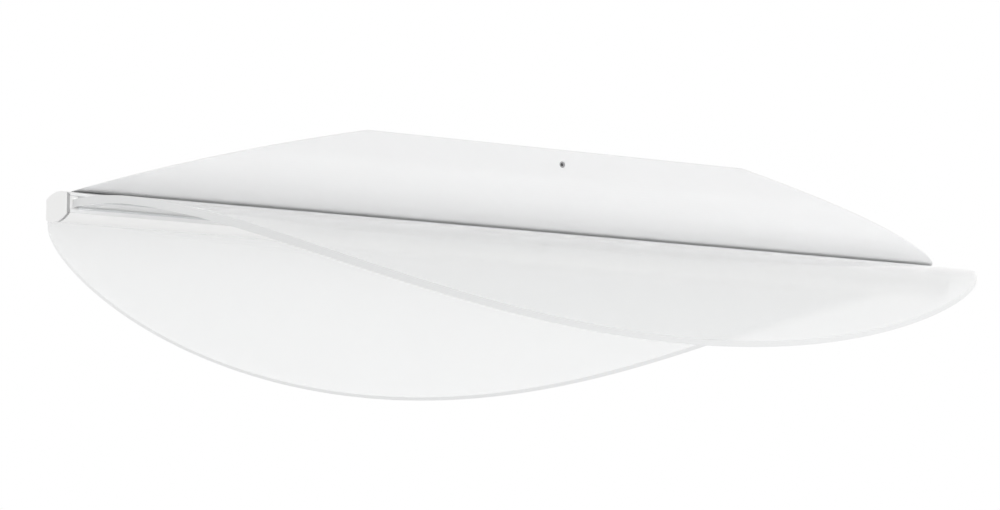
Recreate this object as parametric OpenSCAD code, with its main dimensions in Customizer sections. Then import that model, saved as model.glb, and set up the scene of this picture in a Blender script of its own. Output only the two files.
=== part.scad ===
// Ceiling light: a long trough-shaped canopy, a slim spine under it and two clear wings that arch down
// on both sides. Light is fed into the wings' root edges inside the spine.
// Millimetres. The origin is the middle of the ceiling face, X runs along the spine and Z points up.

/* [Canopy] */
// Length of the canopy along its bottom
canopy_bottom_l = 798; // [720:2:800]
// Length of the canopy at the ceiling
canopy_top_l = 348; // [340:4:440]
// Height of the canopy
canopy_h = 61; // [59:1:75]
// Width of the canopy at the ceiling
canopy_w = 94; // [92:1:112]
// Radius of the rounded sides
canopy_side_r = 43; // [40:1:45]
// Outward bulge of each sloping end
canopy_end_bulge = 3; // [2:0.5:5]
// Sheet thickness of the canopy
canopy_t = 1.5; // [1:0.1:1.8]

/* [Wings] */
// Thickness of the clear sheet
wing_t = 6; // [5:0.5:8]
// How far each end of a wing's root lies inside the end of the profile
wing_inset = 2.5; // [0.5:0.1:30]
// Depth of the ellipse that the flat sheet is cut from, from its middle to the rim
wing_depth = 294; // [220:1:304]
// How far the middle of the ellipse lies inside the spine's side face
wing_setback = 35; // [20:1:60]
// Radius that the lower face of the sheet is bent to
wing_bend_r = 283; // [280:1:420]
// Angle by which the sheet rises where it leaves the spine, before it arches down
wing_rise = 1.9; // [0:0.1:4]

/* [Spine] */
// Length of the spine's aluminium profile
spine_l = 809; // [806:1:840]
// Width of the spine
spine_w = 38; // [35:1:42]
// Fall of its crowned top from the middle to the sides
spine_crown = 3; // [2:0.5:5]
// Thickness of the profile above the slots
spine_top_t = 5; // [4.5:0.5:8]
// Thickness of the web between the slots
spine_web_t = 8; // [7:0.5:9]
// Thickness of the lip below each slot
lip_t = 2.5; // [2.5:0.5:5]
// Height of the arched cover under the profile
cover_h = 4.5; // [4.5:0.5:9]
// Sagging depth of the cover's arch
cover_arch = 4; // [2:0.5:5]
// Wall of the cover
cover_t = 1.5; // [1:0.1:2]
// Thickness of an end cap's plate
cap_t = 1.2; // [1:0.2:3]
// Rim of an end cap that stands proud of the profile
cap_rim = 0.5; // [0:0.1:1]
// Thickness of the seal behind an end cap
end_seal_t = 2.6; // [1:0.2:4]

/* [Light boards] */
// Thickness of a light board
board_t = 1.2; // [0.8:0.2:1.6]
// Height of a light board
board_h = 6.4; // [5:0.2:6.4]
// Side of one light chip
chip_w = 2.8; // [2:0.1:3.5]
// Height of one light chip
chip_t = 0.7; // [0.5:0.1:0.9]
// Distance from chip to chip
chip_pitch = 16; // [10:1:40]
// Gap between the chips and the wing's root edge
chip_gap = 0.4; // [0.3:0.1:1]

/* [Wing clamps] */
// Thickness of the soft strip above each wing's root
pad_t = 3; // [0.4:0.1:4]
// Thickness of the clamp strip below each wing's root
strip_t = 1; // [0.8:0.1:2]
// Clamp screws on each side
clamp_screws_n = 6; // [3:1:8]
// Distance between clamp screws
clamp_pitch = 140; // [60:5:150]

/* [Ceiling bracket] */
// Length of the bracket's plate
bracket_l = 300; // [280:5:320]
// Length of the bracket's side flanges
bracket_flange_l = 240; // [160:5:260]
// Gap between each flange and the canopy's wall
bracket_gap = 5.5; // [5:0.1:8]
// Depth of the flanges below the ceiling
bracket_flange_h = 26; // [20:1:30]
// Sheet thickness of the bracket
bracket_t = 2; // [1.5:0.5:2.5]
// Distance between the two ceiling slots
ceiling_hole_pitch = 200; // [120:10:220]
// Width of a ceiling slot
ceiling_slot_w = 5.5; // [4.5:0.5:6.5]
// Length of a ceiling slot, end to end
ceiling_slot_l = 20; // [12:1:30]
// Diameter of the cable hole in the bracket
cable_hole_d = 22; // [18:1:26]
// Bore of the rubber grommet in the cable hole
cable_bore_d = 10; // [8:1:14]

/* [Side screws] */
// Thread diameter of the two side screws
side_screw_d = 5; // [4:1:6]
// Length of a side screw
side_screw_l = 6; // [5:0.5:8]
// Depth of the side screws below the ceiling
side_screw_drop = 12.1; // [10:0.1:14]
// Gap between a side screw's tip and the bracket's flange
side_screw_gap = 0.1; // [0.1:0.1:0.5]

/* [Gear] */
// Length of the gear tray
tray_l = 620; // [480:10:640]
// Width of the gear tray
tray_w = 48; // [46:1:49]
// Sheet thickness of the gear tray
tray_t = 1.5; // [1:0.5:2]
// Height of the tray's side flanges
tray_flange_h = 8; // [6:1:10]
// Height of the sleeves between the canopy and the tray
sleeve_h = 6; // [6:0.5:9]
// Length of the driver's housing
driver_l = 160; // [120:5:160]
// Width of the driver's housing
driver_w = 40; // [30:1:42]
// Height of the driver's housing
driver_h = 26; // [20:1:28]
// Near and far distance of the spine screws from the middle
spine_screw_x = [160, 290]; // [150:5:300]

/* [Hidden] */

// Facets of large and small rounds, overlap of cuts, and clearances of threads, seats and screw holes
smooth = 96;
fine = 48;
cut = 1;
thread_gap = 0.05;
seat_gap = 0.1;
fit_gap = 0.25;

// Heights, from the ceiling down
spine_top_z = -canopy_h;
slot_top_z = spine_top_z - spine_top_t;
plate_top_z = slot_top_z - pad_t;
plate_low_z = plate_top_z - wing_t;
plate_mid_z = plate_top_z - wing_t / 2;
board_top_z = plate_mid_z + board_h / 2;
slot_low_z = plate_low_z - strip_t;
split_z = slot_low_z - lip_t;
spine_low_z = split_z - cover_h;
tray_low_z = -canopy_h + canopy_t + sleeve_h;
tray_top_z = tray_low_z + tray_t;

// Width over the bracket's flanges
bracket_w = canopy_w - 2 * (canopy_t + bracket_gap);

// Places across the spine, from its middle plane outwards
board_y = spine_web_t / 2;
root_y = board_y + board_t + chip_t + chip_gap;
side_y = spine_w / 2;
grip_inset = 1.2;
mouth_inset = 0.5;
strip_end_inset = 4;
grip_y = root_y + grip_inset;
grip_w = side_y - mouth_inset - grip_y;

// Wing outline: the flat sheet is a segment of an ellipse, bent round an axis parallel to X.
// The outline stops just short of the ellipse's end, where it would run out to a point.
wing_mid_r = wing_bend_r + wing_t / 2;
wing_axis_y = side_y + wing_mid_r * sin(wing_rise);
wing_axis_z = plate_mid_z - wing_mid_r * cos(wing_rise);
wing_start = asin(wing_setback / wing_depth);
wing_stop = 88.6;
wing_steps = 56;
wing_root_half = spine_l / 2 - wing_inset;
wing_half_l = wing_root_half / cos(wing_start);

// Cover clips, and their distance from the spine's side faces
clip_t = 1.2;
clip_h = 1.5;
clip_inset = 2.6;
clip_y = side_y - clip_inset;

// End cap pegs, and their depths below the top of the slots
peg_r = 2.2;
peg_l = 9;
peg_drop = [2.5, 8];
peg_z = [for (drop = peg_drop) slot_top_z - drop];

// Clamp and spine screws. The clamp screws end flush with the profile's lip, beside the cover's clips.
clamp_screw_d = 4;
clamp_screw_l = lip_t;
clamp_screw_wall = 1.2;
clamp_screw_y = clip_y - (clip_t + clamp_screw_d) / 2 - clamp_screw_wall;
spine_screw_d = 5;
spine_screw_l = 20;
spine_screw_head_d = 9;
spine_screw_head_h = 3;

// Bushes for the side screws
bush_d = 8;
bush_l = bracket_gap - 1.3;
bush_end_y = canopy_w / 2 - canopy_t - seat_gap;

// Small parts on the gear tray
gear_screw_d = 3;
gear_screw_l = 6.5;
gear_screw_head_d = 5.5;
gear_screw_head_h = 2;
foot_t = 3;
driver_x = -135;
driver_ear_l = 10;
driver_lid_h = 8;
vent_margin = 30;
vent_pitch = 12;
vent_depth = 1;
vent_end = 4;
port_r = 1.1;
port_depth = 4;
port_z = tray_top_z + 7;
mains_y = 10;
block_x = 62;
block_l = 20;
pole_pitch = 10;
pole_w = 8;
pole_h = 12;
block_screw_x = [block_x + 5, block_x + block_l - 5];
block_foot_y = 17.5;
clamp_x = 100;
clamp_foot_y = 10;
clamp_foot_edge = 4;
stud_x = 46;
stud_d = 4;
stud_h = 10;
lug_t = 0.8;
barrel_x = 4.8;
barrel_l = 3.6;
barrel_h = 3.2;
nut_h = 3.2;
nut_d = 8;
gear_screw_at = [
    [driver_x - driver_ear_l / 2, 0],
    [driver_x + driver_l + driver_ear_l / 2, 0],
    [block_x + block_l / 2, block_foot_y],
    [block_x + block_l / 2, -block_foot_y],
    [clamp_x, clamp_foot_y],
    [clamp_x, -clamp_foot_y]];

// Leads: radius, and routes as X and height in a plane of constant Y
lead_r = 0.8;
lead_sides = 8;
lead_x = -190;
lead_y = board_y + board_t / 2;
lead_hole_r = 7;
driver_end = driver_x + driver_l;
led_bend = [[-172, 0], [-180, 0.8], [-185.5, 3.4], [-189, 7.2], [lead_x, 12]];
led_route = [[driver_x + port_depth, port_z], [-142, port_z], [-156, port_z],
    each [for (p = led_bend) [p[0], port_z - p[1]]],
    [lead_x, spine_top_z], [lead_x, board_top_z + seat_gap]];
mains_route = [[driver_end - port_depth, port_z], [30, port_z], [37, port_z + 1.2], [44, port_z + 2],
    [51, port_z + 1.2], [57, port_z], [block_x + port_depth, port_z]];
earth_route = [[block_x + port_depth, port_z], [60.6, port_z], [59, port_z - 1.2], [58, port_z - 3],
    [57, port_z - 4.6], [55.8, port_z - 5], [stud_x + barrel_x + barrel_l, port_z - 5]];

module along_x(l) {
    rotate([90, 0, 90]) linear_extrude(l, center = true) children();
}

module both_sides() {
    for (side = [-1, 1]) scale([1, side, 1]) children();
}

// Canopy: a trough with upright walls, rounded sides and a narrow flat bottom
module trough_section(inset) {
    round_y = canopy_w / 2 - canopy_side_r;
    round_z = canopy_side_r - canopy_h;
    for (side = [-1, 1])
        translate([side * round_y, round_z]) circle(canopy_side_r - inset, $fn = 2 * smooth);
    translate([-canopy_w / 2 + inset, round_z]) square([canopy_w - 2 * inset, cut - round_z]);
    translate([-round_y, -canopy_h + inset]) square([2 * round_y, canopy_side_r]);
}

// Space between two large cylinders that give the sloping ends their slight bulge
module end_bounds(inset) {
    run = (canopy_bottom_l - canopy_top_l) / 2;
    chord = norm([run, canopy_h]);
    end_r = (pow(chord / 2, 2) + pow(canopy_end_bulge, 2)) / (2 * canopy_end_bulge);
    mid_x = (canopy_bottom_l + canopy_top_l) / 4;
    back = end_r - canopy_end_bulge;
    intersection_for (side = [-1, 1])
        translate([side * (mid_x - back * canopy_h / chord), 0, -canopy_h / 2 - back * run / chord])
            rotate([90, 0, 0])
                cylinder(h = 2 * canopy_w, r = end_r - inset, center = true, $fn = 8 * smooth);
}

module trough(inset) {
    intersection() {
        along_x(canopy_bottom_l + 2 * cut) trough_section(inset);
        end_bounds(inset);
    }
}

module canopy_shell() {
    color("white") difference() {
        intersection() {
            trough(0);
            translate([0, 0, -canopy_h])
                cube([canopy_bottom_l + 4 * cut, 2 * canopy_w, 2 * canopy_h], center = true);
        }
        trough(canopy_t);
        translate([0, 0, -side_screw_drop]) rotate([90, 0, 0])
            cylinder(h = 2 * canopy_w, r = side_screw_d / 2 + seat_gap, center = true, $fn = fine);
        at_spine_screws()
            cylinder(h = 4 * canopy_t, r = spine_screw_d / 2 + fit_gap, center = true, $fn = fine);
        translate([lead_x, 0, -canopy_h])
            cylinder(h = 4 * canopy_t, r = lead_hole_r, center = true, $fn = fine);
    }
}

module at_spine_screws() {
    for (side = [-1, 1], x = spine_screw_x) translate([side * x, 0, -canopy_h]) children();
}

// Threaded bushes pressed on to the inside of the canopy's walls
module side_screw_bushes() {
    color("silver") both_sides()
        translate([0, bush_end_y, -side_screw_drop]) rotate([90, 0, 0]) difference() {
            union() {
                cylinder(h = bush_l, d = bush_d - 1, $fn = fine);
                cylinder(h = bush_l / 2, d = bush_d, $fn = fine);
            }
            translate([0, 0, -cut])
                cylinder(h = bush_l + 2 * cut, r = side_screw_d / 2 + thread_gap, $fn = fine);
        }
}

// Socket set screw, tip at the origin, running along +Z
module set_screw(d, l) {
    difference() {
        union() {
            cylinder(h = 0.5, r1 = d / 2 - 0.5, r2 = d / 2, $fn = fine);
            translate([0, 0, 0.5]) cylinder(h = l - 0.5, r = d / 2, $fn = fine);
        }
        translate([0, 0, l - d / 2]) cylinder(h = d, r = d * 0.29, $fn = 6);
    }
}

module side_screw(side) {
    color("dimgray") translate([0, side * (bracket_w / 2 + side_screw_gap), -side_screw_drop])
        rotate([-90 * side, 0, 0]) set_screw(side_screw_d, side_screw_l);
}

module side_screw_near() { side_screw(-1); }
module side_screw_far() { side_screw(1); }

// Folded ceiling bracket: a flat plate with two side flanges, slots for the ceiling screws and a cable hole
module bracket_section(inset) {
    bend_r = 2 * bracket_t - inset;
    half = bracket_w / 2 - inset;
    top = -inset;
    for (side = [-1, 1]) translate([side * (half - bend_r), top - bend_r]) circle(bend_r, $fn = fine);
    translate([-half + bend_r, top - bend_r]) square([2 * (half - bend_r), bend_r]);
    translate([-half, -bracket_flange_h - (inset > 0 ? cut : 0)])
        square([2 * half, top - bend_r + bracket_flange_h + (inset > 0 ? cut : 0)]);
}

module slot(l, w, h) {
    for (side = [-1, 1]) translate([side * (l - w) / 2, 0, 0])
        cylinder(h = h, d = w, center = true, $fn = fine);
    cube([l - w, w, h], center = true);
}

module ceiling_bracket() {
    tongue_w = bracket_w - 4 * bracket_t;
    color("gainsboro") difference() {
        union() {
            along_x(bracket_flange_l) difference() {
                bracket_section(0);
                bracket_section(bracket_t);
            }
            translate([-bracket_l / 2, -tongue_w / 2, -bracket_t]) cube([bracket_l, tongue_w, bracket_t]);
        }
        for (side = [-1, 1]) translate([side * ceiling_hole_pitch / 2, 0, 0])
            slot(ceiling_slot_l, ceiling_slot_w, 4 * bracket_t);
        cylinder(h = 4 * bracket_t, d = cable_hole_d, center = true, $fn = smooth);
        for (x = [-1, 1], y = [-1, 1]) translate([x * bracket_l / 2, y * tongue_w / 2, 0])
            cylinder(h = 4 * bracket_t, r = 6, center = true, $fn = 4);
    }
}

module cable_grommet() {
    rim_t = 2;
    color("dimgray") difference() {
        union() {
            translate([0, 0, -bracket_t]) cylinder(h = bracket_t, d = cable_hole_d - seat_gap, $fn = smooth);
            translate([0, 0, -bracket_t - rim_t]) cylinder(h = rim_t, d = cable_hole_d + 5, $fn = smooth);
        }
        translate([0, 0, -bracket_t - rim_t - cut])
            cylinder(h = bracket_t + rim_t + 2 * cut, d = cable_bore_d, $fn = smooth);
    }
}

// Gear tray: a folded strip that carries the driver and stiffens the canopy over the spine
module gear_tray() {
    color("silver") difference() {
        translate([-tray_l / 2, -tray_w / 2, tray_low_z]) cube([tray_l, tray_w, tray_flange_h]);
        translate([-tray_l / 2 - cut, -tray_w / 2 + tray_t, tray_top_z])
            cube([tray_l + 2 * cut, tray_w - 2 * tray_t, tray_flange_h]);
        at_spine_screws()
            cylinder(h = canopy_h, r = spine_screw_d / 2 + fit_gap, center = true, $fn = fine);
        for (p = gear_screw_at) translate([p[0], p[1], tray_low_z])
            cylinder(h = 4 * tray_t, r = gear_screw_d / 2 + thread_gap, center = true, $fn = fine);
        translate([stud_x, 0, tray_low_z])
            cylinder(h = 4 * tray_t, r = stud_d / 2 + thread_gap, center = true, $fn = fine);
        translate([lead_x, 0, tray_low_z])
            cylinder(h = 4 * tray_t, r = lead_hole_r, center = true, $fn = fine);
    }
}

module tray_sleeves() {
    sleeve_wall = 1.2;
    color("silver") at_spine_screws() translate([0, 0, canopy_t]) difference() {
        cylinder(h = sleeve_h, r = spine_screw_d / 2 + fit_gap + sleeve_wall, $fn = fine);
        translate([0, 0, -cut]) cylinder(h = sleeve_h + 2 * cut, r = spine_screw_d / 2 + fit_gap, $fn = fine);
    }
}

module spine_screws() {
    color("silver") at_spine_screws() translate([0, 0, tray_top_z + canopy_h]) difference() {
        union() {
            translate([0, 0, -spine_screw_l]) cylinder(h = spine_screw_l, d = spine_screw_d, $fn = fine);
            cylinder(h = spine_screw_head_h - 1, d = spine_screw_head_d, $fn = fine);
            translate([0, 0, spine_screw_head_h - 1])
                cylinder(h = 1, d1 = spine_screw_head_d, d2 = spine_screw_head_d - 2, $fn = fine);
        }
        translate([0, 0, 1]) cylinder(h = spine_screw_head_h, r = 1.7, $fn = 6);
    }
}

// Driver: a moulded case with screw ears and wire ports, closed by a lid
module rounded_block(l, w, h, r) {
    translate([r, -w / 2, 0]) cube([l - 2 * r, w, h]);
    translate([0, -w / 2 + r, 0]) cube([l, w - 2 * r, h]);
    for (x = [r, l - r], y = [-1, 1]) translate([x, y * (w / 2 - r), 0]) cylinder(h = h, r = r, $fn = fine);
}

module driver_case() {
    ear_w = 16;
    case_h = driver_h - driver_lid_h;
    color("whitesmoke") difference() {
        union() {
            translate([driver_x, 0, tray_top_z]) rounded_block(driver_l, driver_w, case_h, 3);
            translate([driver_x - driver_ear_l, -ear_w / 2, tray_top_z])
                cube([driver_l + 2 * driver_ear_l, ear_w, foot_t]);
        }
        for (i = [0, 1]) translate([gear_screw_at[i][0], 0, tray_top_z])
            cylinder(h = 4 * foot_t, r = gear_screw_d / 2 + fit_gap, center = true, $fn = fine);
        for (side = [-1, 1]) {
            translate([driver_end - port_depth, side * mains_y, port_z]) wire_port();
            translate([driver_x - cut, side * lead_y, port_z]) wire_port();
        }
        for (x = [driver_x + vent_margin : vent_pitch : driver_end - vent_margin], side = [-1, 1])
            translate([x, side * driver_w / 2, tray_top_z + case_h / 2 + 1])
                cube([vent_pitch / 2, 2 * vent_depth, case_h - 2 * vent_end], center = true);
    }
}

module wire_port() {
    rotate([0, 90, 0]) cylinder(h = port_depth + cut, r = port_r, $fn = fine);
}

module driver_lid() {
    lid_edge = 2;
    color("white") translate([driver_x, 0, tray_top_z + driver_h - driver_lid_h]) {
        rounded_block(driver_l, driver_w, driver_lid_h - lid_edge, 3);
        translate([lid_edge, 0, driver_lid_h - lid_edge])
            rounded_block(driver_l - 2 * lid_edge, driver_w - 2 * lid_edge, lid_edge, 3);
    }
}

// Three-pole terminal block with a screw on each side of every pole
module terminal_block() {
    foot_w = 2 * block_foot_y + 6;
    color("ivory") difference() {
        translate([block_x, 0, tray_top_z]) {
            translate([0, -foot_w / 2, 0]) cube([block_l, foot_w, foot_t]);
            for (i = [-1, 0, 1]) translate([0, i * pole_pitch - pole_w / 2, 0])
                cube([block_l, pole_w, foot_t + pole_h]);
        }
        for (side = [-1, 1]) translate([block_x + block_l / 2, side * block_foot_y, tray_top_z])
            cylinder(h = 4 * foot_t, r = gear_screw_d / 2 + fit_gap, center = true, $fn = fine);
        for (i = [-1, 0, 1]) {
            translate([block_x - cut, i * pole_pitch, port_z]) wire_port();
            translate([block_x + block_l - port_depth, i * pole_pitch, port_z]) wire_port();
            for (x = block_screw_x) translate([x, i * pole_pitch, tray_top_z + foot_t + pole_h - 5])
                cylinder(h = 5 + cut, r = 1.9, $fn = fine);
        }
    }
}

module terminal_screws() {
    color("silver") for (i = [-1, 0, 1], x = block_screw_x)
        translate([x, i * pole_pitch, tray_top_z + foot_t + pole_h - 5]) difference() {
            cylinder(h = 3, r = 1.8, $fn = fine);
            translate([0, 0, 2.8]) cube([4, 0.6, 1.2], center = true);
        }
}

module gear_screws() {
    color("silver") for (p = gear_screw_at) translate([p[0], p[1], tray_top_z + foot_t]) difference() {
        union() {
            translate([0, 0, -gear_screw_l]) cylinder(h = gear_screw_l, d = gear_screw_d, $fn = fine);
            cylinder(h = gear_screw_head_h, d1 = gear_screw_head_d, d2 = gear_screw_head_d - 1, $fn = fine);
        }
        translate([0, 0, gear_screw_head_h]) cube([3.2, 0.7, 1.6], center = true);
        translate([0, 0, gear_screw_head_h]) cube([0.7, 3.2, 1.6], center = true);
    }
}

// Saddle that grips the supply cable
module cable_clamp() {
    saddle_l = 10;
    saddle_w = 13;
    foot_w = 2 * (clamp_foot_y + clamp_foot_edge);
    saddle_h = 11;
    cable_r = 4.5;
    color("whitesmoke") difference() {
        translate([clamp_x - saddle_l / 2, 0, tray_top_z]) {
            translate([0, -foot_w / 2, 0]) cube([saddle_l, foot_w, foot_t]);
            translate([0, -saddle_w / 2, 0]) cube([saddle_l, saddle_w, saddle_h]);
        }
        translate([clamp_x, 0, tray_top_z + cable_r]) rotate([0, 90, 0])
            cylinder(h = 2 * saddle_l, r = cable_r, center = true, $fn = fine);
        translate([clamp_x, 0, tray_top_z]) cube([2 * saddle_l, 2 * cable_r, 2 * cable_r], center = true);
        for (side = [-1, 1]) translate([clamp_x, side * clamp_foot_y, tray_top_z])
            cylinder(h = 4 * foot_t, r = gear_screw_d / 2 + fit_gap, center = true, $fn = fine);
    }
}

module earth_stud() {
    color("goldenrod") translate([stud_x, 0, tray_low_z])
        cylinder(h = tray_t + stud_h, d = stud_d, $fn = fine);
}

module earth_nut() {
    color("goldenrod") translate([stud_x, 0, tray_top_z + lug_t]) difference() {
        cylinder(h = nut_h, d = nut_d, $fn = 6);
        translate([0, 0, -cut]) cylinder(h = nut_h + 2 * cut, r = stud_d / 2 + thread_gap, $fn = fine);
    }
}

// Ring lug under the earth nut, with the barrel that holds the lead
module earth_lug() {
    color("silver") translate([stud_x, 0, tray_top_z]) difference() {
        union() {
            cylinder(h = lug_t, r = 4.4, $fn = fine);
            translate([0, -1.5, 0]) cube([barrel_x + barrel_l, 3, lug_t]);
            translate([barrel_x, -1.5, 0]) cube([barrel_l, 3, barrel_h]);
        }
        translate([0, 0, -cut]) cylinder(h = 4, r = stud_d / 2 + thread_gap, $fn = fine);
    }
}

// Round lead along a route of X and height, in the plane of one Y
function lead_ring(route, i, y) = let (
    last = len(route) - 1,
    way = route[min(i + 1, last)] - route[max(i - 1, 0)],
    t = way / norm(way)
) [for (k = [0 : lead_sides - 1]) let (a = 360 * k / lead_sides)
    [route[i][0] - lead_r * sin(a) * t[1], y + lead_r * cos(a), route[i][1] + lead_r * sin(a) * t[0]]];

module lead(route, y) {
    last = len(route) - 1;
    n = lead_sides;
    polyhedron(
        points = [for (i = [0 : last]) each lead_ring(route, i, y)],
        faces = concat(
            [[for (k = [0 : n - 1]) k]],
            [[for (k = [n - 1 : -1 : 0]) last * n + k]],
            [for (i = [0 : last - 1], k = [0 : n - 1]) [i * n + k, (i + 1) * n + k, i * n + (k + 1) % n]],
            [for (i = [0 : last - 1], k = [0 : n - 1])
                [i * n + (k + 1) % n, (i + 1) * n + k, (i + 1) * n + (k + 1) % n]]));
}

module earth_lead() { color("yellowgreen") lead(earth_route, 0); }

module mains_leads() {
    color("saddlebrown") for (side = [-1, 1]) lead(mains_route, side * mains_y);
}

module led_leads() {
    color("crimson") for (side = [-1, 1]) lead(led_route, side * lead_y);
}

module lead_grommet() {
    rim_t = 1.2;
    wall = 1.1;
    color("dimgray") translate([lead_x, 0, -canopy_h]) difference() {
        union() {
            cylinder(h = canopy_t + fit_gap, r = lead_hole_r - seat_gap, $fn = fine);
            translate([0, 0, canopy_t + fit_gap]) cylinder(h = rim_t, r = lead_hole_r + 1.5, $fn = fine);
        }
        translate([0, 0, -cut]) cylinder(h = canopy_h, r = lead_hole_r - wall, $fn = fine);
    }
}

// Outline of the spine, seen along X: a crowned top, upright sides and an arched bottom
function arch_r(w, rise) = (w * w / 4 + rise * rise) / (2 * rise);

module spine_outline(grow) {
    w = spine_w + 2 * grow;
    top = spine_top_z + min(grow, 0);
    low = spine_low_z - grow;
    intersection() {
        translate([-w / 2, low]) square([w, top - low]);
        translate([0, top - arch_r(w, spine_crown)]) circle(arch_r(w, spine_crown), $fn = 4 * smooth);
        translate([0, low + arch_r(w, cover_arch)]) circle(arch_r(w, cover_arch), $fn = 4 * smooth);
    }
}

module above(z) {
    translate([-spine_w, z]) square([2 * spine_w, 2 * canopy_h]);
}

// Aluminium profile with a slot on each side for a wing, and grooves for the cover's clips
module spine_profile() {
    color("white") difference() {
        along_x(spine_l) difference() {
            intersection() {
                spine_outline(0);
                above(split_z);
            }
            for (side = [-1, 1]) scale([side, 1]) {
                translate([board_y, slot_low_z]) square([spine_w, slot_top_z - slot_low_z]);
                translate([clip_y - clip_t / 2 - seat_gap, split_z - cut])
                    square([clip_t + 2 * seat_gap, clip_h + cut + 2 * seat_gap]);
            }
        }
        at_spine_screws() cylinder(h = 2 * (spine_screw_l - sleeve_h), r = spine_screw_d / 2 + thread_gap,
            center = true, $fn = fine);
        for (side = [-1, 1]) translate([lead_x, side * lead_y, board_top_z])
            cylinder(h = spine_top_z - board_top_z + cut, r = port_r, $fn = fine);
        at_clamp_screws()
            cylinder(h = 3 * lip_t, r = clamp_screw_d / 2 + thread_gap, center = true, $fn = fine);
        for (end = [-1, 1], z = peg_z) translate([end * spine_l / 2, 0, z]) rotate([0, 90, 0])
            cylinder(h = 2 * peg_l + 1, r = peg_r + thread_gap, center = true, $fn = fine);
    }
}

module at_clamp_screws() {
    for (side = [-1, 1], i = [0 : clamp_screws_n - 1])
        translate([(i - (clamp_screws_n - 1) / 2) * clamp_pitch, side * clamp_screw_y, slot_low_z])
            children();
}

module clamp_screws() {
    color("dimgray") at_clamp_screws() rotate([180, 0, 0]) set_screw(clamp_screw_d, clamp_screw_l);
}

// Arched cover that clips under the profile
module spine_cover() {
    hollow_w = 2 * clip_y - clip_t;
    outer_r = arch_r(spine_w, cover_arch);
    color("white") along_x(spine_l) {
        difference() {
            spine_outline(0);
            above(split_z);
            intersection() {
                translate([0, spine_low_z + outer_r]) circle(outer_r - cover_t, $fn = 4 * smooth);
                translate([-hollow_w / 2, spine_low_z]) square([hollow_w, cover_h + cut]);
            }
        }
        for (side = [-1, 1]) translate([side * clip_y - clip_t / 2, split_z - cut])
            square([clip_t, clip_h + cut]);
    }
}

module end_cap(side) {
    seat_x = spine_l / 2 + end_seal_t;
    color("white") scale([side, 1, 1]) {
        translate([seat_x + cap_t / 2, 0, 0]) along_x(cap_t) spine_outline(cap_rim);
        for (z = peg_z) translate([seat_x - end_seal_t - peg_l, 0, z]) rotate([0, 90, 0])
            cylinder(h = peg_l + end_seal_t + cap_t / 2, r = peg_r, $fn = fine);
    }
}

module end_cap_left() { end_cap(-1); }
module end_cap_right() { end_cap(1); }

// Soft seal between an end cap and the profile, set back so that it shows as a shadow line
module end_seal(side) {
    setback = 0.8;
    color("gray") scale([side, 1, 1]) difference() {
        translate([(spine_l + end_seal_t) / 2, 0, 0]) along_x(end_seal_t) spine_outline(-setback);
        for (z = peg_z) translate([spine_l / 2 - cut, 0, z]) rotate([0, 90, 0])
            cylinder(h = end_seal_t + 2 * cut, r = peg_r + thread_gap, $fn = fine);
    }
}

module end_seal_left() { end_seal(-1); }
module end_seal_right() { end_seal(1); }

// Wing: stations along the sheet, each with its half length and its place on the bend.
// Station 0 is the straight root edge inside the slot.
function wing_angle(i) = wing_start + (wing_stop - wing_start) * (i - 1) / (wing_steps - 1);
function wing_station(i) = let (
    half = i == 0 ? wing_root_half : wing_half_l * cos(wing_angle(i)),
    run = wing_depth * sin(wing_angle(i)) - wing_setback,
    bend = run / wing_mid_r * 180 / PI - wing_rise,
    faces = [[-half, wing_t / 2], [half, wing_t / 2], [half, -wing_t / 2], [-half, -wing_t / 2]]
) i == 0 ? [for (p = faces) [p[0], root_y, plate_mid_z + p[1]]]
    : [for (p = faces) let (r = wing_mid_r + p[1])
        [p[0], wing_axis_y + r * sin(bend), wing_axis_z + r * cos(bend)]];

module wing() {
    n = wing_steps;
    polyhedron(
        points = [for (i = [0 : n]) each wing_station(i)],
        faces = concat(
            [[0, 1, 2, 3], [4 * n + 3, 4 * n + 2, 4 * n + 1, 4 * n]],
            [for (i = [0 : n - 1], k = [0 : 3]) [4 * i + k, 4 * i + 4 + k, 4 * i + (k + 1) % 4]],
            [for (i = [0 : n - 1], k = [0 : 3])
                [4 * i + (k + 1) % 4, 4 * i + 4 + k, 4 * i + 4 + (k + 1) % 4]]));
}

module wing_near() { color("lightcyan", 0.5) mirror([0, 1, 0]) wing(); }
module wing_far() { color("lightcyan", 0.5) wing(); }

// Strips that hold a wing's root in its slot
module wing_strip(low_z, t) {
    strip_l = 2 * (wing_root_half - strip_end_inset);
    translate([-strip_l / 2, grip_y, low_z]) cube([strip_l, grip_w, t]);
}

module wing_pad_near() { color("lightgray") mirror([0, 1, 0]) wing_strip(plate_top_z, pad_t); }
module wing_pad_far() { color("lightgray") wing_strip(plate_top_z, pad_t); }
module clamp_strip_near() { color("silver") mirror([0, 1, 0]) wing_strip(slot_low_z, strip_t); }
module clamp_strip_far() { color("silver") wing_strip(slot_low_z, strip_t); }

// Light board on the web of the profile, facing the wing's root edge
module led_board() {
    board_l = 2 * wing_root_half - 4;
    translate([-board_l / 2, board_y, plate_mid_z - board_h / 2]) cube([board_l, board_t, board_h]);
}

module led_chips() {
    n = floor((2 * wing_root_half - 24) / chip_pitch) + 1;
    for (i = [0 : n - 1])
        translate([(i - (n - 1) / 2) * chip_pitch, board_y + board_t + chip_t / 2, plate_mid_z])
            cube([chip_w, chip_t, chip_w], center = true);
}

module led_board_near() { color("mintcream") mirror([0, 1, 0]) led_board(); }
module led_board_far() { color("mintcream") led_board(); }
module led_chips_near() { color("khaki") mirror([0, 1, 0]) led_chips(); }
module led_chips_far() { color("khaki") led_chips(); }

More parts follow.
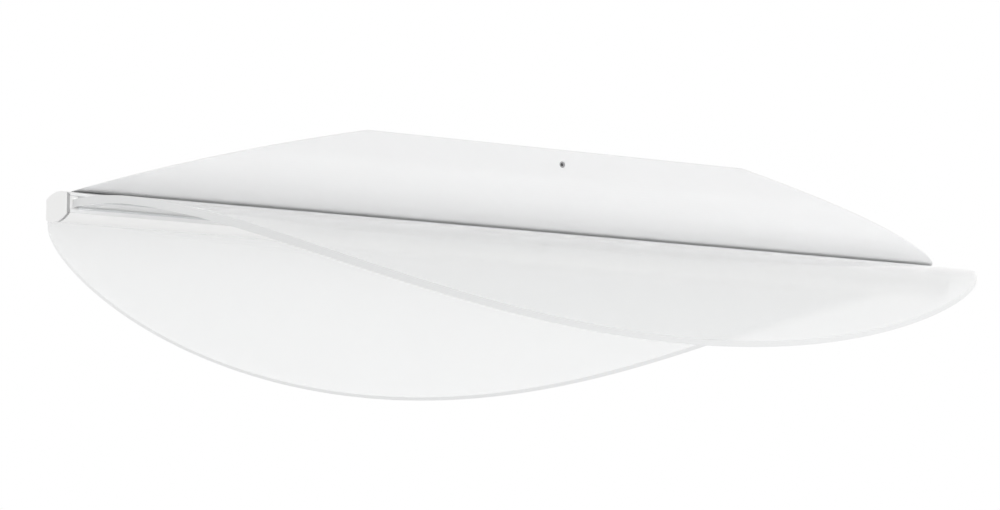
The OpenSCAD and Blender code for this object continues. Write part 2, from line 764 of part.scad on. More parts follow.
ceiling_bracket();
cable_grommet();
canopy_shell();
side_screw_bushes();
side_screw_near();
side_screw_far();
gear_tray();
tray_sleeves();
spine_screws();
driver_case();
driver_lid();
terminal_block();
terminal_screws();
gear_screws();
cable_clamp();
earth_stud();
earth_nut();
earth_lug();
earth_lead();
mains_leads();
led_leads();
lead_grommet();
spine_profile();
spine_cover();
end_cap_left();
end_cap_right();
end_seal_left();
end_seal_right();
wing_near();
wing_far();
wing_pad_near();
wing_pad_far();
clamp_strip_near();
clamp_strip_far();
clamp_screws();
led_board_near();
led_board_far();
led_chips_near();
led_chips_far();
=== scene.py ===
"""Ceiling light with a white trough-shaped canopy, a slim spine and two clear arched wings.

The file follows the light as it is put together: the bracket on the ceiling, the canopy and the gear in
it, the spine with its light boards, the wings and their clamps, and the cover and caps. The studio comes
last. Everything is in metres, in the frame's own axes.
"""

import math

import bmesh
import bpy
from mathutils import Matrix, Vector


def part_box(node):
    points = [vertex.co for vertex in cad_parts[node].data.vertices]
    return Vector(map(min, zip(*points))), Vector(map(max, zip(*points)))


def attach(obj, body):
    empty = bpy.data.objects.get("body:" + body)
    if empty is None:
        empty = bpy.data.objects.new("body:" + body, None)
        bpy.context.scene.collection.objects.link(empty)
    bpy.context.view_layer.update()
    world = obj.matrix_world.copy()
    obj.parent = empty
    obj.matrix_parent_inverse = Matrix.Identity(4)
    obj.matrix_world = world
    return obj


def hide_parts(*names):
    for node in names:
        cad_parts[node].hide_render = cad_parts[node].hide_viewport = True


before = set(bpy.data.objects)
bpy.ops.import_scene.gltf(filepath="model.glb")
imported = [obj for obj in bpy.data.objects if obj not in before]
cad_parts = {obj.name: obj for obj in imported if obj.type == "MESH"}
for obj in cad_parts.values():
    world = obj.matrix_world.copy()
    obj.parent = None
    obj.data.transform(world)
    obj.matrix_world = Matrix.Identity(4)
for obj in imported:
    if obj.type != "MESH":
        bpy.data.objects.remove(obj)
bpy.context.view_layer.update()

# Ceiling bracket: galvanised steel sheet, 2 mm thick, punched and folded down along both sides. The two
# slots take the ceiling screws and the middle hole takes the cable grommet. The light hangs on its
# flanges by the two side screws.
mm = 0.001


def open_edit(piece):
    """Makes a piece the only selected one and opens its mesh."""
    bpy.ops.object.select_all(action="DESELECT")
    piece.select_set(True)
    bpy.context.view_layer.objects.active = piece
    bpy.ops.object.mode_set(mode="EDIT")


def close_edit():
    """Goes back from the open mesh to the piece."""
    bpy.ops.object.mode_set(mode="OBJECT")


def begin(add, name, **how):
    """Adds a primitive as a new piece, with its place and size already in its mesh."""
    bpy.ops.object.select_all(action="DESELECT")
    scale = how.pop("scale", (1, 1, 1))
    add(**how)
    piece = bpy.context.object
    piece.name = piece.data.name = name
    piece.scale = scale
    bpy.ops.object.transform_apply(location=True, rotation=True, scale=True)
    return piece


def pick(kind, test):
    """Selects each vertex, edge or face of the open mesh whose middle and normal pass the test.

    An edge's direction takes the place of a normal.
    """
    mesh = bmesh.from_edit_mesh(bpy.context.object.data)
    bpy.context.tool_settings.mesh_select_mode = [kind == k for k in ("VERT", "EDGE", "FACE")]
    bpy.ops.mesh.select_all(action="DESELECT")
    mesh.normal_update()
    for part in {"VERT": mesh.verts, "EDGE": mesh.edges, "FACE": mesh.faces}[kind]:
        if kind == "VERT":
            middle, normal = part.co, part.normal
        elif kind == "EDGE":
            middle, normal = (part.verts[0].co + part.verts[1].co) / 2, part.verts[1].co - part.verts[0].co
        else:
            middle, normal = part.calc_center_median(), part.normal
        if test(middle, normal):
            part.select_set(True)
    bmesh.update_edit_mesh(bpy.context.object.data)


def near(a, b, within=0.02 * mm):
    """Whether two places along an axis are the same, to a hair."""
    return abs(a - b) < within


def bisect_all(at, normal):
    """Puts a row of edges where a plane crosses the open mesh."""
    bpy.ops.mesh.select_all(action="SELECT")
    bpy.ops.mesh.bisect(plane_co=at, plane_no=normal)


def extrude(x, y, z):
    """Extrudes the selection by a step."""
    bpy.ops.mesh.extrude_region_move(TRANSFORM_OT_translate={"value": (x, y, z)})


def modify(piece, kind, **settings):
    """Adds a modifier, sets it and applies it."""
    bpy.ops.object.select_all(action="DESELECT")
    piece.select_set(True)
    bpy.context.view_layer.objects.active = piece
    modifier = piece.modifiers.new(kind.title(), kind)
    for key, value in settings.items():
        setattr(modifier, key, value)
    bpy.ops.object.modifier_apply(modifier=modifier.name)


def cut_out(piece, cutters):
    """Cuts each cutter's shape out of a piece, and takes the cutter away."""
    for cutter in cutters:
        modify(piece, "BOOLEAN", operation="DIFFERENCE", solver="EXACT", object=cutter)
        bpy.data.objects.remove(cutter)


def drill(at, radius, depth, turn=0):
    """A round cutter through a place, upright or turned about X."""
    return begin(bpy.ops.mesh.primitive_cylinder_add, "drill", vertices=48, radius=radius,
                 depth=depth, location=at, rotation=(turn, 0, 0))


def recalculate(piece, doubles=0.002 * mm):
    """Merges the doubles of a piece and turns its faces outwards."""
    open_edit(piece)
    bpy.ops.mesh.select_all(action="SELECT")
    bpy.ops.mesh.remove_doubles(threshold=doubles)
    bpy.ops.mesh.normals_make_consistent(inside=False)
    close_edit()


def soften(piece, width, segments=2, angle=35, material=-1, merge=True):
    """Breaks the sharp edges of a piece and smooths its rounds, with its large faces kept true.

    Merging would close the finest cells of a bent sheet's corners, so a sheet goes without it.
    """
    modify(piece, "BEVEL", width=width, segments=segments, limit_method="ANGLE",
           angle_limit=math.radians(angle), material=material)
    if merge:
        recalculate(piece)
    bpy.ops.object.shade_smooth_by_angle(angle=math.radians(angle))
    modify(piece, "WEIGHTED_NORMAL", keep_sharp=True)


def fold_down(side, y, z, radius, drop, half_length):
    """Bends the open sheet's edge at y down by a quarter turn and lengthens it by drop."""
    pick("EDGE", lambda p, n: near(p.y, side * y) and near(p.z, z) and abs(p.x) < half_length
         and abs(n.x) > abs(n.y))
    bpy.ops.mesh.spin(steps=8, angle=math.pi / 2, center=(0, side * y, z - radius), axis=(side, 0, 0))
    extrude(0, 0, -drop)


class Value:
    """A shader socket that can stand in a sum or product, as a plain number does."""

    def __init__(self, shading, socket):
        self.shading, self.socket = shading, socket

    def maths(self, operation, a, b):
        return self.shading.node("ShaderNodeMath", {"operation": operation}, {0: a, 1: b})

    def __add__(self, other):
        return self.maths("ADD", self, other)

    def __mul__(self, other):
        return self.maths("MULTIPLY", self, other)

    __radd__, __rmul__ = __add__, __mul__


class Shading:
    """A node tree that is written as calls."""

    def __init__(self, tree):
        self.tree = tree

    def feed(self, node, sockets):
        """Gives sockets of a node their values or links."""
        for key, value in sockets.items():
            if isinstance(value, Value):
                self.tree.links.new(value.socket, node.inputs[key])
            else:
                node.inputs[key].default_value = value

    def node(self, kind, settings=None, sockets=None, output=0):
        """Adds a node, with its settings before its sockets, and returns one of its outputs."""
        made = self.tree.nodes.new(kind)
        for key, value in (settings or {}).items():
            setattr(made, key, value)
        self.feed(made, sockets or {})
        return Value(self, made.outputs[output]) if made.outputs else None


class Finish(Shading):
    """A material round one Principled shader, with patterns laid out in metres on the piece."""

    def __init__(self, name, constants):
        self.material = bpy.data.materials.new(name)
        self.material.use_nodes = True
        super().__init__(self.material.node_tree)
        self.shader = self.tree.nodes["Principled BSDF"]
        self.feed(self.shader, constants)
        self.place = self.node("ShaderNodeTexCoord", output="Object")

    def noise(self, size, detail=2, along=None):
        """Soft noise from 0 to 1, with lumps of about this size in metres, stretched where along is low."""
        place = self.place
        if along:
            place = self.node("ShaderNodeMapping", sockets={"Vector": self.place, "Scale": along})
        return self.node("ShaderNodeTexNoise",
                         sockets={"Vector": place, "Scale": 1 / size, "Detail": detail})

    def cells(self, size):
        """A random level from 0 to 1 in each cell of about this size in metres."""
        return self.node("ShaderNodeTexVoronoi", sockets={"Vector": self.place, "Scale": 1 / size},
                         output="Color")

    def between(self, share, low, high):
        """A colour from low to high."""
        return self.node("ShaderNodeMix", {"data_type": "RGBA"},
                         {0: share, 6: (*low, 1), 7: (*high, 1)}, output=2)

    def surface(self, **links):
        """Links what changes over the surface: base_color, roughness, metallic, and height for the bump."""
        height, depth = links.pop("height", None), links.pop("depth", 0.01 * mm)
        if height is not None:
            bump = self.node("ShaderNodeBump",
                             sockets={"Height": height, "Distance": depth, "Strength": 1.0})
            self.feed(self.shader, {"Normal": bump})
        self.feed(self.shader, {key.replace("_", " ").title(): value for key, value in links.items()})
        return self


def coat(piece, *finishes):
    """Gives a piece its finishes. Each face names one of them by its place in the list."""
    for finish in finishes:
        piece.data.materials.append(finish.material)


def finished(piece, body, slot, node, *finishes):
    """Ends a piece: its finishes, the body it rides on, and the CAD node that it stands for. The slot is
    not used.
    """
    coat(piece, *finishes)
    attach(piece, body)
    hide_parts(node)


def painted(node, finish):
    """Gives a CAD node that keeps its own shape a finish."""
    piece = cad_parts[node]
    piece.data.materials.clear()
    coat(piece, finish)


zinc = Finish("galvanised_sheet", {"Metallic": 1.0})
spangle, streak = zinc.cells(9 * mm), zinc.noise(0.6 * mm, 3, (0.08, 1, 1))
zinc.surface(base_color=zinc.between(spangle, (0.62, 0.63, 0.64), (0.74, 0.75, 0.76)),
             roughness=0.30 + 0.10 * spangle + 0.10 * streak, height=streak, depth=0.004 * mm)

low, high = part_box("ceiling_bracket")
bracket_t = 2 * mm
fold_r = 2 * bracket_t
flange_half = 120 * mm
tongue_corner = 6 * mm
slot_reach = 100 * mm
slot_half, slot_r = 10 * mm, 2.75 * mm
hole_r = 11 * mm
punched_edge = 0.25 * mm

bracket = begin(bpy.ops.mesh.primitive_plane_add, "bracket", size=2, scale=(high.x, high.y - fold_r, 1))
open_edit(bracket)
for x in (-flange_half, flange_half):
    bisect_all((x, 0, 0), (1, 0, 0))
for side in (-1, 1):
    fold_down(side, high.y - fold_r, 0, fold_r, -low.z - fold_r, flange_half)
pick("VERT", lambda p, n: near(abs(p.x), high.x))
bpy.ops.mesh.bevel(affect="VERTICES", offset=tongue_corner, segments=1)
close_edit()
recalculate(bracket)
modify(bracket, "SOLIDIFY", thickness=bracket_t, offset=-1, use_even_offset=True)
cutters = [drill((0, 0, 0), hole_r, 4 * bracket_t)]
for side in (-1, 1):
    slotter = drill((side * slot_reach, 0, 0), slot_r, 4 * bracket_t)
    for vertex in slotter.data.vertices:
        vertex.co.x += math.copysign(slot_half - slot_r, vertex.co.x - side * slot_reach)
    cutters.append(slotter)
cut_out(bracket, cutters)
soften(bracket, punched_edge)
finished(bracket, "bracket", "zinc_steel", "ceiling_bracket", zinc)

# Cable grommet: black rubber, pressed into the bracket's hole so that the sheet can't cut the cable.
# It was moulded with soft lips.
black_rubber = Finish("black_rubber", {"Specular IOR Level": 0.4})
grain = black_rubber.noise(0.5 * mm, 4)
black_rubber.surface(base_color=black_rubber.between(grain, (0.025, 0.025, 0.026), (0.05, 0.05, 0.05)),
                     roughness=0.62 + 0.2 * grain, height=grain, depth=0.01 * mm)
painted("cable_grommet", black_rubber)

# Canopy: 1.5 mm steel, rolled to a trough with upright walls and rounded sides, and closed at both ends
# by long, slightly bulged slopes. The corners are dressed smooth and the whole is powder-coated white.
powder_white = Finish("white_powder_coat",
                      {"Coat Weight": 0.25, "Coat Roughness": 0.16, "Specular IOR Level": 0.5})
peel, drift = powder_white.noise(1.4 * mm, 2), powder_white.noise(60 * mm, 2)
powder_white.surface(base_color=powder_white.between(drift, (0.895, 0.897, 0.90), (0.915, 0.916, 0.918)),
                     roughness=0.30 + 0.08 * drift + 0.06 * peel, height=peel, depth=0.006 * mm)

low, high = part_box("canopy_shell")
shell = 1.5 * mm
side_r = 43 * mm
half_top = 174 * mm
end_bulge = 3 * mm
corner_r, corner_fades = 1.6 * mm, 14 * mm
side_steps, wall_steps = 30, 4
rim_edge = 0.2 * mm
side_screw_z, side_hole_r = -12.1 * mm, 2.6 * mm
spine_screw_x, spine_hole_r = (-290 * mm, -160 * mm, 160 * mm, 290 * mm), 2.75 * mm
lead_x, lead_hole_r = -190 * mm, 7 * mm
round_y, round_z = high.y - side_r, low.z + side_r
end_run, end_rise = high.x - half_top, -low.z
end_chord = math.hypot(end_run, end_rise)
end_r = (end_chord ** 2 / 4 + end_bulge ** 2) / (2 * end_bulge)
end_x = (high.x + half_top) / 2 - (end_r - end_bulge) * end_rise / end_chord
end_z = low.z / 2 - (end_r - end_bulge) * end_run / end_chord


def end_reach(z, inset=0):
    """Half length of the canopy at a height: an arc between the ceiling line and the tip."""
    return end_x + math.sqrt((end_r - inset) ** 2 - (z - end_z) ** 2)


def trough(name, inset):
    """One face of the sheet: a flat bottom, two spun sides, upright walls and two sloping ends."""
    piece = begin(bpy.ops.mesh.primitive_plane_add, name, size=2, location=(0, 0, low.z + inset),
                  scale=(high.x, round_y, 1))
    open_edit(piece)
    for side in (-1, 1):
        pick("EDGE", lambda p, n: near(p.y, side * round_y))
        bpy.ops.mesh.spin(steps=side_steps, angle=math.pi / 2, center=(0, side * round_y, round_z),
                          axis=(-side, 0, 0))
        for step in range(wall_steps):
            extrude(0, 0, -round_z / wall_steps)
    close_edit()
    for vertex in piece.data.vertices:
        vertex.co.x = math.copysign(end_reach(vertex.co.z, inset), vertex.co.x)
    open_edit(piece)
    for end in (-1, 1):
        pick("EDGE", lambda p, n: end * p.x > half_top / 2 and abs(p.y) > round_y)
        bpy.ops.mesh.bridge_edge_loops()
    close_edit()
    recalculate(piece)
    return piece


canopy, lining = trough("canopy", 0), trough("lining", shell)
bpy.ops.object.select_all(action="DESELECT")
lining.select_set(True)
canopy.select_set(True)
bpy.context.view_layer.objects.active = canopy
bpy.ops.object.join()
open_edit(canopy)
for side in (-1, 1):
    pick("EDGE", lambda p, n: near(p.z, 0) and near(p.x, 0) and side * p.y > 0)
    bpy.ops.mesh.bridge_edge_loops()
    pick("EDGE", lambda p, n: near(p.z, 0) and near(p.y, 0) and side * p.x > 0)
    bpy.ops.mesh.bridge_edge_loops()
close_edit()
recalculate(canopy)
corners = canopy.data.attributes.new("bevel_weight_edge", "FLOAT", "EDGE")
for edge, corner in zip(canopy.data.edges, corners.data):
    a, b = (canopy.data.vertices[index].co for index in edge.vertices)
    on_end = all(near(abs(p.x), end_reach(p.z)) and abs(p.y) > round_y for p in (a, b))
    if on_end and a.y * b.y > 0:
        corner.value = min(1, ((a.z + b.z) / 2 - low.z) / corner_fades)
modify(canopy, "BEVEL", width=corner_r, segments=4, limit_method="WEIGHT")
cutters = [drill((0, 0, side_screw_z), side_hole_r, 2.2 * high.y, math.pi / 2)]
for x in spine_screw_x:
    cutters.append(drill((x, 0, low.z), spine_hole_r, 6 * shell))
cutters.append(drill((lead_x, 0, low.z), lead_hole_r, 6 * shell))
cut_out(canopy, cutters)
soften(canopy, rim_edge, angle=50)
finished(canopy, "luminaire", "painted_shell", "canopy_shell", powder_white)

# Side screws: blackened M5 set screws with a hexagon socket. They clamp the canopy to the bracket's
# flanges, and their threaded bushes are pressed on to the inside of the canopy's walls.
dark_steel = Finish("blackened_steel", {"Metallic": 1.0})
rub = dark_steel.noise(0.8 * mm, 3)
dark_steel.surface(base_color=dark_steel.between(rub, (0.36, 0.36, 0.365), (0.50, 0.50, 0.51)),
                   roughness=0.34 + 0.16 * rub)
bright_steel = Finish("zinc_plated_steel", {"Metallic": 1.0})
rub = bright_steel.noise(0.7 * mm, 3)
bright_steel.surface(base_color=bright_steel.between(rub, (0.60, 0.61, 0.62), (0.72, 0.73, 0.74)),
                     roughness=0.22 + 0.16 * rub)
painted("side_screw_near", dark_steel)
painted("side_screw_far", dark_steel)
painted("side_screw_bushes", bright_steel)

# Gear tray: a folded strip of galvanised steel over the canopy's bottom, held off it by sleeves. It
# carries the driver and the mains connection, and spreads the load of the spine.
painted("gear_tray", zinc)
painted("tray_sleeves", bright_steel)
painted("spine_screws", bright_steel)
painted("gear_screws", bright_steel)

# Driver: a moulded housing with vents along its sides and a lid with a stepped edge. Two of the gear
# screws hold it down to the tray by its ears. The cable clamp is of the same plastic.
moulded_grey = Finish("moulded_housing", {})
grain = moulded_grey.noise(0.45 * mm, 3)
moulded_grey.surface(base_color=moulded_grey.between(grain, (0.78, 0.78, 0.76), (0.83, 0.83, 0.81)),
                     roughness=0.5 + 0.12 * grain, height=grain, depth=0.02 * mm)
painted("driver_case", moulded_grey)
painted("driver_lid", moulded_grey)
painted("cable_clamp", moulded_grey)

# Mains connection: a three-pole terminal block, the earth stud with its nut and ring lug, and leads. The
# supply comes in by the bracket's grommet, and the leads to the light boards leave by a second one.
ivory = Finish("ivory_plastic", {})
grain = ivory.noise(0.6 * mm, 3)
ivory.surface(base_color=ivory.between(grain, (0.74, 0.71, 0.62), (0.80, 0.77, 0.68)),
              roughness=0.42 + 0.1 * grain)
brass = Finish("turned_brass", {"Metallic": 1.0})
tarnish = brass.noise(2 * mm, 3)
brass.surface(base_color=brass.between(tarnish, (0.62, 0.44, 0.19), (0.80, 0.62, 0.30)),
              roughness=0.22 + 0.2 * tarnish)


def insulation(name, colour):
    """A lead's insulation, with a little unevenness from the extruder."""
    finish = Finish(name, {})
    rib = finish.noise(3 * mm, 2)
    darker = tuple(0.85 * c for c in colour)
    return finish.surface(base_color=finish.between(rib, darker, colour), roughness=0.34 + 0.12 * rib)


painted("terminal_block", ivory)
painted("terminal_screws", bright_steel)
for node in ("earth_stud", "earth_nut", "earth_lug"):
    painted(node, brass)
painted("earth_lead", insulation("earth_insulation", (0.42, 0.58, 0.16)))
painted("mains_leads", insulation("mains_insulation", (0.28, 0.15, 0.08)))
painted("led_leads", insulation("board_insulation", (0.52, 0.06, 0.06)))
painted("lead_grommet", black_rubber)

# Spine profile: an aluminium extrusion with a slot on each side for a wing, powder-coated white. Its
# crowned top lies against the canopy and the spine screws pull it up from inside.
spine_low, spine_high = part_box("spine_profile")
slot_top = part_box("wing_pad_far")[1].z
slot_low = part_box("clamp_strip_far")[0].z
web_half = 4 * mm
crown = 3 * mm
spine_steps = 34
extruded_edge = 0.25 * mm


def arch(y, half, rise):
    """How far a crowned or arched face has curved away at y, if it curves by rise at its side."""
    radius = (half ** 2 + rise ** 2) / (2 * rise)
    return radius - math.sqrt(radius ** 2 - y ** 2)


def upright_grid(name, x, low, high):
    """A grid across the spine at x, a single cell high."""
    return begin(bpy.ops.mesh.primitive_grid_add, name, size=2, x_subdivisions=1,
                 y_subdivisions=spine_steps, rotation=(0, math.pi / 2, 0),
                 location=(x, 0, (low.z + high.z) / 2), scale=((high.z - low.z) / 2, high.y, 1))


profile = upright_grid("profile", spine_low.x, spine_low, spine_high)
for vertex in profile.data.vertices:
    if vertex.co.z > (spine_low.z + spine_high.z) / 2:
        vertex.co.z = spine_high.z - arch(vertex.co.y, spine_high.y, crown)
open_edit(profile)
for z in (slot_top, slot_low):
    bisect_all((0, 0, z), (0, 0, 1))
for y in (-web_half, web_half):
    bisect_all((0, y, 0), (0, 1, 0))
pick("FACE", lambda p, n: slot_low < p.z < slot_top and abs(p.y) > web_half)
bpy.ops.mesh.delete(type="FACE")
bpy.ops.mesh.select_all(action="SELECT")
extrude(spine_high.x - spine_low.x, 0, 0)
close_edit()
recalculate(profile)
soften(profile, extruded_edge)
finished(profile, "luminaire", "painted_profile", "spine_profile", powder_white)

# Light boards: aluminium-backed boards with white solder mask, on the web of the profile. Their chips
# face the wings' root edges. The lamp is off, so the yellow of the phosphor shows.
solder_mask = Finish("white_solder_mask", {"Coat Weight": 0.3})
cloud = solder_mask.noise(4 * mm, 2)
solder_mask.surface(base_color=solder_mask.between(cloud, (0.84, 0.85, 0.84), (0.89, 0.90, 0.89)),
                    roughness=0.34 + 0.1 * cloud)
phosphor = Finish("phosphor_chip", {"Coat Weight": 0.4})
cloud = phosphor.noise(1.2 * mm, 2)
phosphor.surface(base_color=phosphor.between(cloud, (0.78, 0.62, 0.20), (0.88, 0.76, 0.34)),
                 roughness=0.4 + 0.1 * cloud)
for hand in ("near", "far"):
    painted("led_board_" + hand, solder_mask)
    painted("led_chips_" + hand, phosphor)

# Wings: 6 mm clear acrylic, each cut as a segment of an ellipse and bent over a round former. The faces
# are as cast, with a faint milky tint, and the cut edge was milled and left satin. Seen through the
# sheet, the edge passes on the light that falls on it from outside.
clear = Finish("clear_acrylic", {"Transmission Weight": 0.85, "IOR": 1.15, "Coat Weight": 1.0,
                                 "Coat IOR": 1.49, "Coat Roughness": 0.03})
haze = clear.noise(45 * mm, 2)
clear.surface(base_color=clear.between(haze, (0.92, 0.925, 0.925), (0.93, 0.935, 0.935)),
              roughness=0.10 + 0.03 * haze)
satin_edge = Finish("satin_edge", {"IOR": 1.49})
ripple = satin_edge.noise(2.5 * mm, 2)
satin_edge.surface(base_color=satin_edge.between(ripple, (0.75, 0.755, 0.755), (0.78, 0.785, 0.785)),
                   roughness=0.3 + 0.1 * ripple, height=ripple, depth=0.01 * mm)
through = satin_edge.node("ShaderNodeBsdfTranslucent", sockets={"Color": (0.92, 0.925, 0.925, 1)})
inside = satin_edge.node("ShaderNodeNewGeometry", output="Backfacing")
outside = Value(satin_edge, satin_edge.shader.outputs["BSDF"])
seen_edge = satin_edge.node("ShaderNodeMixShader", sockets={0: inside, 1: outside, 2: through})
satin_edge.feed(satin_edge.tree.nodes["Material Output"], {"Surface": seen_edge})

wing_end, root_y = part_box("wing_far")[1].x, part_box("wing_far")[0].y
wing_top, wing_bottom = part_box("wing_pad_far")[0].z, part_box("clamp_strip_far")[1].z
wing_t, wing_mid = wing_top - wing_bottom, (wing_top + wing_bottom) / 2
bend_r = 283 * mm + wing_t / 2
wing_rise = math.radians(1.9)
wing_depth, wing_setback = 294 * mm, 35 * mm
wing_start = math.asin(wing_setback / wing_depth)
wing_stop = math.radians(89.6)
edge_round = 0.4 * mm
mouth_y = spine_high.y
axis_y = mouth_y + bend_r * math.sin(wing_rise)
axis_z = wing_mid - bend_r * math.cos(wing_rise)
columns, rows = 80, 144


def on_sheet(u, row):
    """A place halfway through a sheet, at u from -1 to 1 along it and at a row from its root to its rim."""
    if row == 0:
        return Vector((u * wing_end, root_y, wing_mid))
    angle = wing_start + (wing_stop - wing_start) * (row - 1) / (rows - 1)
    run = wing_depth * math.sin(angle) - wing_setback
    bend = run / bend_r - wing_rise
    half = wing_end * math.cos(angle) / math.cos(wing_start)
    return Vector((u * half, axis_y + bend_r * math.sin(bend), axis_z + bend_r * math.cos(bend)))


def arched_sheet(name, side):
    """A wing on one side: a grid laid over the arch, given its finishes, thickness and broken edge."""
    sheet = begin(bpy.ops.mesh.primitive_grid_add, name, size=2, x_subdivisions=columns,
                  y_subdivisions=rows)
    for vertex in sheet.data.vertices:
        vertex.co = on_sheet(vertex.co.x, round((vertex.co.y + 1) / 2 * rows))
        vertex.co.y *= side
    if side < 0:
        open_edit(sheet)
        bpy.ops.mesh.select_all(action="SELECT")
        bpy.ops.mesh.flip_normals()
        close_edit()
    coat(sheet, clear, satin_edge)
    modify(sheet, "SOLIDIFY", thickness=wing_t, offset=0, use_even_offset=True, material_offset_rim=1)
    soften(sheet, edge_round, angle=50, material=1, merge=False)
    return sheet


for hand, side in (("near", -1), ("far", 1)):
    wing = arched_sheet("sheet_" + hand, side)
    finished(wing, "luminaire", "clear_sheet", "wing_" + hand)
    # A clear sheet throws hardly any shadow.
    wing.visible_shadow = False

# Wing clamps: a soft strip above each wing's root and a steel strip below it. Six set screws in the
# profile's lip press the steel strip up, so that no hole is needed in the sheet.
pale_rubber = Finish("pale_silicone", {"Specular IOR Level": 0.3})
grain = pale_rubber.noise(0.5 * mm, 3)
pale_rubber.surface(base_color=pale_rubber.between(grain, (0.62, 0.62, 0.62), (0.68, 0.68, 0.68)),
                    roughness=0.6 + 0.15 * grain)
for hand in ("near", "far"):
    painted("wing_pad_" + hand, pale_rubber)
    painted("clamp_strip_" + hand, zinc)
painted("clamp_screws", dark_steel)

# Spine cover: a moulded strip with an arched underside that clips under the profile. It hides the clamp
# screws, and its upright sides meet the profile's along the parting line.
moulded_white = Finish("moulded_white", {"Specular IOR Level": 0.5})
grain = moulded_white.noise(0.4 * mm, 2)
moulded_white.surface(base_color=moulded_white.between(grain, (0.89, 0.89, 0.885), (0.905, 0.905, 0.90)),
                      roughness=0.36 + 0.06 * grain, height=grain, depth=0.004 * mm)
cover_low, cover_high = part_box("spine_cover")
under_arch = 4 * mm
cover_t = 1.5 * mm
cover_steps = 40
cover_edge = 0.15 * mm

cover = begin(bpy.ops.mesh.primitive_grid_add, "cover", size=2, x_subdivisions=2,
              y_subdivisions=cover_steps, scale=(cover_high.x, cover_high.y, 1))
for vertex in cover.data.vertices:
    vertex.co.z = cover_low.z + arch(vertex.co.y, cover_high.y, under_arch)
open_edit(cover)
for side in (-1, 1):
    pick("EDGE", lambda p, n: near(p.y, side * cover_high.y))
    extrude(0, 0, spine_low.z - cover_low.z - under_arch)
close_edit()
recalculate(cover)
modify(cover, "SOLIDIFY", thickness=cover_t, offset=-1, use_even_offset=True)
soften(cover, cover_edge)
finished(cover, "luminaire", "white_cover", "spine_cover", moulded_white)

# End caps and their seals: a thin moulded cap on each end of the spine, pressed in by two pegs. The soft
# grey seal behind it is set back. Its grey is partly painted shade for the gap behind the cap, so that it
# shows as a dark line. White tongues on it close the slots' ends round the wings.
# The seal's grey is partly painted shade: it stands for the shadow in the gap between cap and spine.
seal_grey_and_painted_shade = Finish("grey_silicone_and_painted_shade", {"Specular IOR Level": 0.3})
grain = seal_grey_and_painted_shade.noise(0.5 * mm, 3)
seal_grey_and_painted_shade.surface(base_color=seal_grey_and_painted_shade.between(grain, (0.44, 0.44, 0.445), (0.50, 0.50, 0.505)),
                    roughness=0.6 + 0.15 * grain)
cap_t, cap_edge = 1.2 * mm, 0.4 * mm
seal_t, seal_edge = 2.6 * mm, 0.1 * mm
slot_play = 0.1 * mm


def spine_slice(name, node, thick, edge, lips=()):
    """A slice with the spine's outline, at the outer end of a CAD node, with stepped lips in the two slots.

    Each lip is the height where it starts, the height where it ends, and its length.
    """
    low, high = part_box(node)
    outer = max(low.x, high.x, key=abs)
    piece = upright_grid(name, outer, low, high)
    for vertex in piece.data.vertices:
        if vertex.co.z > (low.z + high.z) / 2:
            vertex.co.z = high.z - arch(vertex.co.y, high.y, crown)
        else:
            vertex.co.z = low.z + arch(vertex.co.y, high.y, under_arch)
    open_edit(piece)
    bpy.ops.mesh.select_all(action="SELECT")
    extrude(-math.copysign(thick, outer), 0, 0)
    close_edit()
    recalculate(piece)
    open_edit(piece)
    for bottom, top, length in lips:
        for z in (bottom, top):
            bisect_all((0, 0, z), (0, 0, 1))
        for y in (-web_half - slot_play, web_half + slot_play):
            bisect_all((0, y, 0), (0, 1, 0))
    for bottom, top, length in lips:
        pick("FACE", lambda p, n: n.x * outer < -0.9 * abs(outer) and abs(p.y) > web_half + slot_play
             and bottom < p.z < top)
        extrude(-math.copysign(length, outer), 0, 0)
    close_edit()
    soften(piece, edge, segments=3)
    return piece


pad_end, strip_end = (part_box(node)[1].x for node in ("wing_pad_far", "clamp_strip_far"))
seal_lips = [(slot_low + slot_play, slot_top - slot_play, spine_high.x - wing_end - slot_play),
             (wing_top + slot_play, slot_top - slot_play, wing_end - pad_end),
             (slot_low + slot_play, wing_bottom - slot_play, wing_end - strip_end)]
for hand in ("left", "right"):
    cap = spine_slice("cap_" + hand, "end_cap_" + hand, cap_t, cap_edge)
    finished(cap, "luminaire", "white_cover", "end_cap_" + hand, moulded_white)
    seal = spine_slice("seal_" + hand, "end_seal_" + hand, seal_t, seal_edge, seal_lips)
    for face in seal.data.polygons:
        face.material_index = int(abs(face.center.x) < spine_high.x)
    finished(seal, "luminaire", "seal_rubber", "end_seal_" + hand, seal_grey_and_painted_shade, moulded_white)

# Studio: a pale floor below the light that keeps its shadow and fades to white, a plain white
# background, and three large soft lamps.
floor_z = -2.0
floor = begin(bpy.ops.mesh.primitive_plane_add, "studio_floor", size=60, location=(0, 0, floor_z))
floor_material = bpy.data.materials.new("pale_floor")
floor_material.use_nodes = True
pale = Shading(floor_material.node_tree)
pale.tree.nodes.clear()
shadow_reach, white_from = 1.2, 4.0
spot = pale.node("ShaderNodeTexCoord", output="Object")
distance = pale.node("ShaderNodeVectorMath", {"operation": "LENGTH"}, {0: spot}, output="Value")
far = pale.node("ShaderNodeMapRange", {"interpolation_type": "SMOOTHSTEP"},
                {"Value": distance, "From Min": shadow_reach, "From Max": white_from})
seen = pale.node("ShaderNodeLightPath", output="Is Camera Ray")
matt = pale.node("ShaderNodeBsdfDiffuse", sockets={"Color": (0.86, 0.86, 0.86, 1)})
white = pale.node("ShaderNodeEmission", sockets={"Strength": 1.0})
faded = pale.node("ShaderNodeMixShader", sockets={0: far * seen, 1: matt, 2: white})
behind = pale.node("ShaderNodeNewGeometry", output="Backfacing")
nothing = pale.node("ShaderNodeBsdfTransparent")
one_sided = pale.node("ShaderNodeMixShader", sockets={0: behind, 1: faded, 2: nothing})
pale.node("ShaderNodeOutputMaterial", sockets={"Surface": one_sided})
floor.data.materials.append(floor_material)

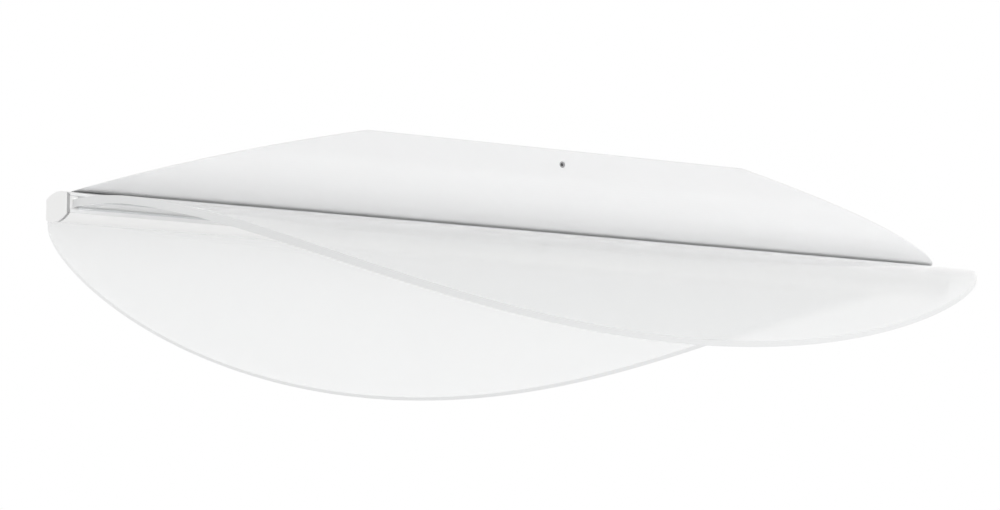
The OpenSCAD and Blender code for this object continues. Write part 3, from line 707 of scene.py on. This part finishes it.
world = bpy.data.worlds.new("studio")
bpy.context.scene.world = world
world.use_nodes = True
air = Shading(world.node_tree)
air.tree.nodes.clear()
room_light = 0.85
plainly_seen = air.node("ShaderNodeLightPath", output="Is Camera Ray")
ray_kinds = plainly_seen.socket.node.outputs
for kind in ("Is Glossy Ray", "Is Transmission Ray"):
    plainly_seen = plainly_seen.maths("MAXIMUM", plainly_seen, Value(air, ray_kinds[kind]))
dim = air.node("ShaderNodeBackground", sockets={"Color": (1, 1, 1, 1), "Strength": room_light})
bright = air.node("ShaderNodeBackground", sockets={"Color": (1, 1, 1, 1), "Strength": 1.0})
lit = air.node("ShaderNodeMixShader", sockets={0: plainly_seen, 1: dim, 2: bright})
air.node("ShaderNodeOutputWorld", sockets={"Surface": lit})


lit_middle = Vector((0, 0, -0.08))


def soft_lamp(name, at, width, height, watts):
    """A large soft box that faces the light."""
    lamp = bpy.data.lights.new(name, "AREA")
    lamp.shape, lamp.size, lamp.size_y, lamp.energy = "RECTANGLE", width, height, watts
    holder = bpy.data.objects.new(name, lamp)
    bpy.context.scene.collection.objects.link(holder)
    holder.location = at
    holder.rotation_euler = (lit_middle - Vector(at)).to_track_quat("-Z", "Y").to_euler()


soft_lamp("key_lamp", at=(0.8, -2.4, -0.9), width=2.8, height=1.5, watts=9)
soft_lamp("low_lamp", at=(1.4, -1.3, -1.7), width=2.2, height=1.6, watts=19)
soft_lamp("fill_lamp", at=(-2.6, -0.4, -0.3), width=1.6, height=1.6, watts=6)

# Camera: below the light and to its left, looking up at it by 8 degrees. Its lens is long, so the edges
# of the canopy and the spine converge only a little.
camera = bpy.data.cameras.new("camera")
camera.lens, camera.sensor_width, camera.clip_end = 106.58, 36, 100
viewer = bpy.data.objects.new("camera", camera)
bpy.context.scene.collection.objects.link(viewer)
viewer.location = (-1.2024, -2.0305, -0.4168)
viewer.rotation_euler = (math.radians(98.15), 0, math.radians(-30))
bpy.context.scene.camera = viewer

bpy.context.scene.view_settings.view_transform = "Standard"
